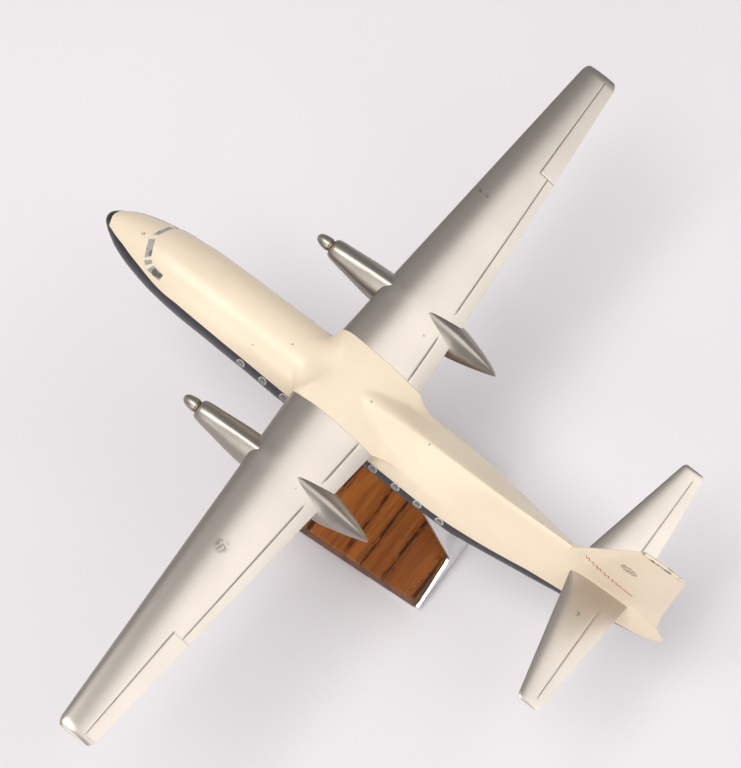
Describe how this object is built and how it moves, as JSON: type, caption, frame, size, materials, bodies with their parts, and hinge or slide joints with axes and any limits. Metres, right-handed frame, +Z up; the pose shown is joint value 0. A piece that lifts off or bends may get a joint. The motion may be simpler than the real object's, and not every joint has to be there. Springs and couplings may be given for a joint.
{
  "type": "desktop airliner model",
  "caption": "High-wing propeller airliner model in cream and silver, posed nose-up on a bent aluminium bracket fixed to a wood block.",
  "frame": {"origin": "middle of the underside of the wood block, on the table plane", "axes": "+Z up from the table, +X towards the left (port) wing tip, -Y towards the nose; the airframe is pitched 16 degrees nose-up"},
  "size_m": [0.577, 0.457, 0.223],
  "materials": {
    "cream_paint": "cream gloss enamel with a dark navy window band and silver belly, on a cast aluminium body",
    "silver_paint": "satin silver enamel on cast aluminium",
    "plate": "polished bent plate",
    "steel": "plain drawn rod and zinc screws",
    "brass": "turned, unpolished",
    "wood": "reddish-brown varnished oak, grain across the block"
  },
  "bodies": {
    "model": {"belly_insert_front": "brass", "belly_insert_rear": "brass", "belly_screw_front": "steel", "belly_screw_rear": "steel", "block_screw_1": "steel", "block_screw_2": "steel", "block_screw_3": "steel", "block_screw_4": "steel", "bush_left": "brass", "bush_right": "brass", "fin": "cream_paint", "fin_dowel_front": "steel", "fin_dowel_rear": "steel", "fuselage": "cream_paint", "nacelle_left": "silver_paint", "nacelle_pin_left_front": "steel", "nacelle_pin_left_rear": "steel", "nacelle_pin_right_front": "steel", "nacelle_pin_right_rear": "steel", "nacelle_right": "silver_paint", "stand_block": "wood", "stand_bracket": "plate", "tailplane_dowel_front": "steel", "tailplane_dowel_rear": "steel", "tailplane_left": "silver_paint", "tailplane_right": "silver_paint", "wing_dowel_front": "steel", "wing_dowel_rear": "steel", "wing_left": "silver_paint", "wing_right": "silver_paint"},
    "propeller_hub_left": {"spinner_left": "silver_paint", "collar_left": "brass", "shaft_left": "steel", "shaft_clip_left": "steel"},
    "propeller_hub_right": {"spinner_right": "silver_paint", "collar_right": "brass", "shaft_right": "steel", "shaft_clip_right": "steel"}
  },
  "joints": [
    {"name": "spinner_left_spin", "type": "hinge", "parent": "model", "child": "propeller_hub_left", "pos_m": [0.0725, -0.079, 0.19587], "axis": [0, -0.9613, 0.2756], "continuous": true},
    {"name": "spinner_right_spin", "type": "hinge", "parent": "model", "child": "propeller_hub_right", "pos_m": [-0.0725, -0.079, 0.19587], "axis": [0, -0.9613, 0.2756], "continuous": true}
  ]
}
